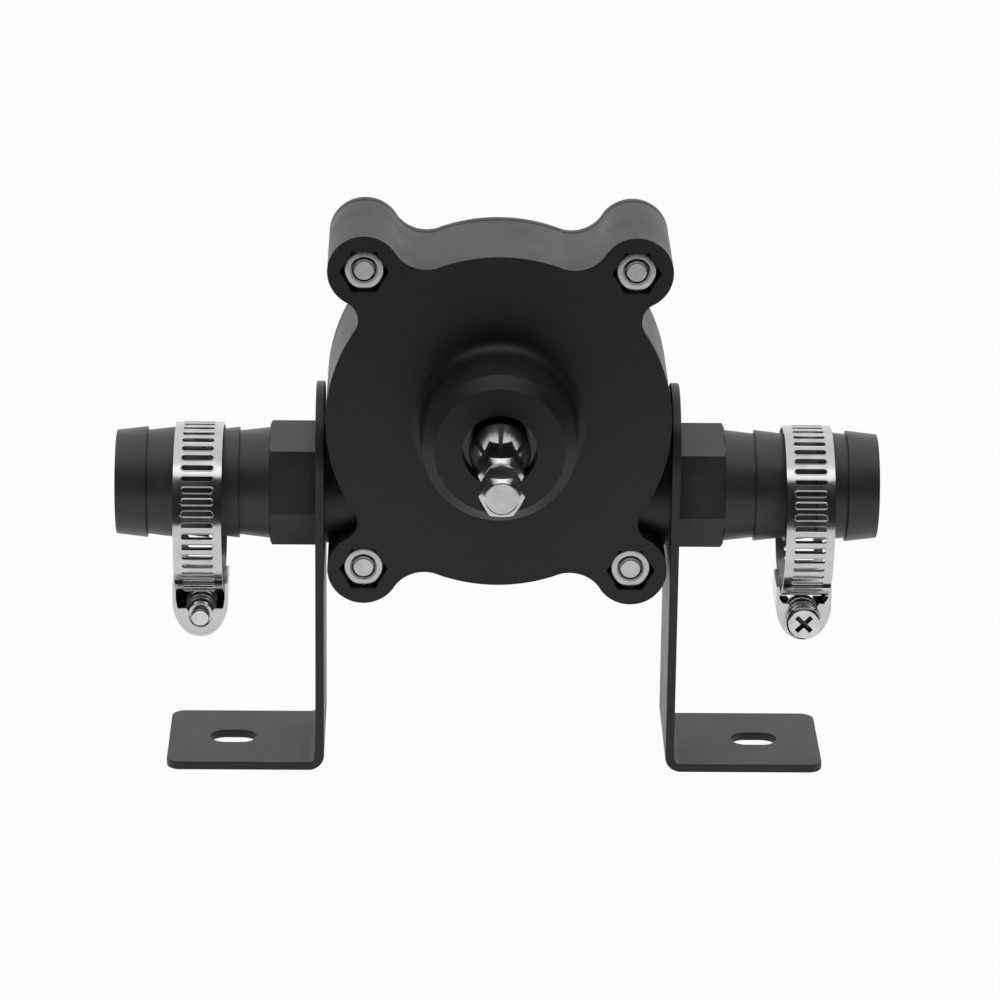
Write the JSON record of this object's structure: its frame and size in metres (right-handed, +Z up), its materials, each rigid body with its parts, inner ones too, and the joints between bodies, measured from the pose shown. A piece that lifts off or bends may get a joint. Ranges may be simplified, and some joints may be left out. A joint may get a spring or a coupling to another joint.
{
  "type": "flexible impeller pump",
  "caption": "Self-priming impeller pump driven by a hex shank, with hose barbs either side, loose worm-drive hose clamps and slotted L-shaped feet.",
  "frame": {"origin": "midway between the two foot slots, on the surface that the feet stand on", "axes": "+X along the two hose barbs, +Z up, hex shank along -Y"},
  "size_m": [0.19, 0.0948, 0.1408],
  "materials": {
    "housing_plastic": "moulded glass-filled nylon, fine matt grain",
    "gasket_rubber": "dull flat gasket",
    "fastener_steel": "bright zinc plated",
    "bearing_steel": "ground and polished",
    "shield_plastic": "moulded shield",
    "spring_steel": "oiled spring steel",
    "seal_rubber": "moulded nitrile rubber",
    "plate_steel": "rolled stainless sheet",
    "bush_bronze": "machined bronze",
    "barb_plastic": "moulded and turned black nylon, satin",
    "bracket_coat": "black powder coat, fine texture",
    "shaft_steel": "turned and ground bright steel",
    "impeller_rubber": "moulded nitrile rubber",
    "cage_brass": "pressed brass",
    "clamp_steel": "bright rolled stainless band",
    "screw_steel": "bright plated"
  },
  "bodies": {
    "pump": {"pump_housing": "housing_plastic", "nose_housing": "housing_plastic", "rear_cover": "housing_plastic", "cover_gasket": "gasket_rubber", "housing_bolts": "fastener_steel", "bolt_washers": "fastener_steel", "housing_nuts": "fastener_steel", "bearing_outer_race": "bearing_steel", "bearing_shields": "shield_plastic", "bearing_ring": "spring_steel", "shaft_seal": "seal_rubber", "seal_spring": "spring_steel", "wear_plate": "plate_steel", "rear_bush": "bush_bronze", "left_barb": "barb_plastic", "right_barb": "barb_plastic", "left_port_seal": "seal_rubber", "right_port_seal": "seal_rubber", "left_bracket": "bracket_coat", "right_bracket": "bracket_coat"},
    "rotor": {"drive_shaft": "shaft_steel", "bearing_inner_race": "bearing_steel", "impeller_hub": "bush_bronze", "impeller": "impeller_rubber", "hub_pin": "spring_steel"},
    "ball_cage": {"bearing_balls": "bearing_steel", "bearing_cage": "cage_brass"},
    "left_clamp": {"left_clamp_band": "clamp_steel", "left_clamp_shell": "clamp_steel"},
    "left_clamp_worm": {"left_clamp_screw": "screw_steel"},
    "right_clamp": {"right_clamp_band": "clamp_steel", "right_clamp_shell": "clamp_steel"},
    "right_clamp_worm": {"right_clamp_screw": "screw_steel"}
  },
  "joints": [
    {"name": "rotor_spin", "type": "hinge", "parent": "pump", "child": "rotor", "pos_m": [0, 0, 0.0932], "axis": [0, 1, 0], "continuous": true, "deforming": ["impeller"]},
    {"name": "ball_cage_spin", "type": "hinge", "parent": "pump", "child": "ball_cage", "pos_m": [0, 0, 0.0932], "axis": [0, 1, 0], "continuous": true},
    {"name": "left_clamp_swing", "type": "hinge", "parent": "pump", "child": "left_clamp", "pos_m": [-0.0743, 0, 0.071], "axis": [1, 0, 0], "continuous": true},
    {"name": "left_clamp_screw_turn", "type": "hinge", "parent": "left_clamp", "child": "left_clamp_worm", "pos_m": [-0.0743, 0, 0.0373], "axis": [0, 1, 0], "continuous": true},
    {"name": "right_clamp_swing", "type": "hinge", "parent": "pump", "child": "right_clamp", "pos_m": [0.0775, 0, 0.071], "axis": [1, 0, 0], "continuous": true},
    {"name": "right_clamp_screw_turn", "type": "hinge", "parent": "right_clamp", "child": "right_clamp_worm", "pos_m": [0.0775, 0, 0.0373], "axis": [0, 1, 0], "continuous": true}
  ],
  "couplings": [
    {"joint": "ball_cage_spin", "follows": "rotor_spin", "ratio": 0.3987}
  ]
}
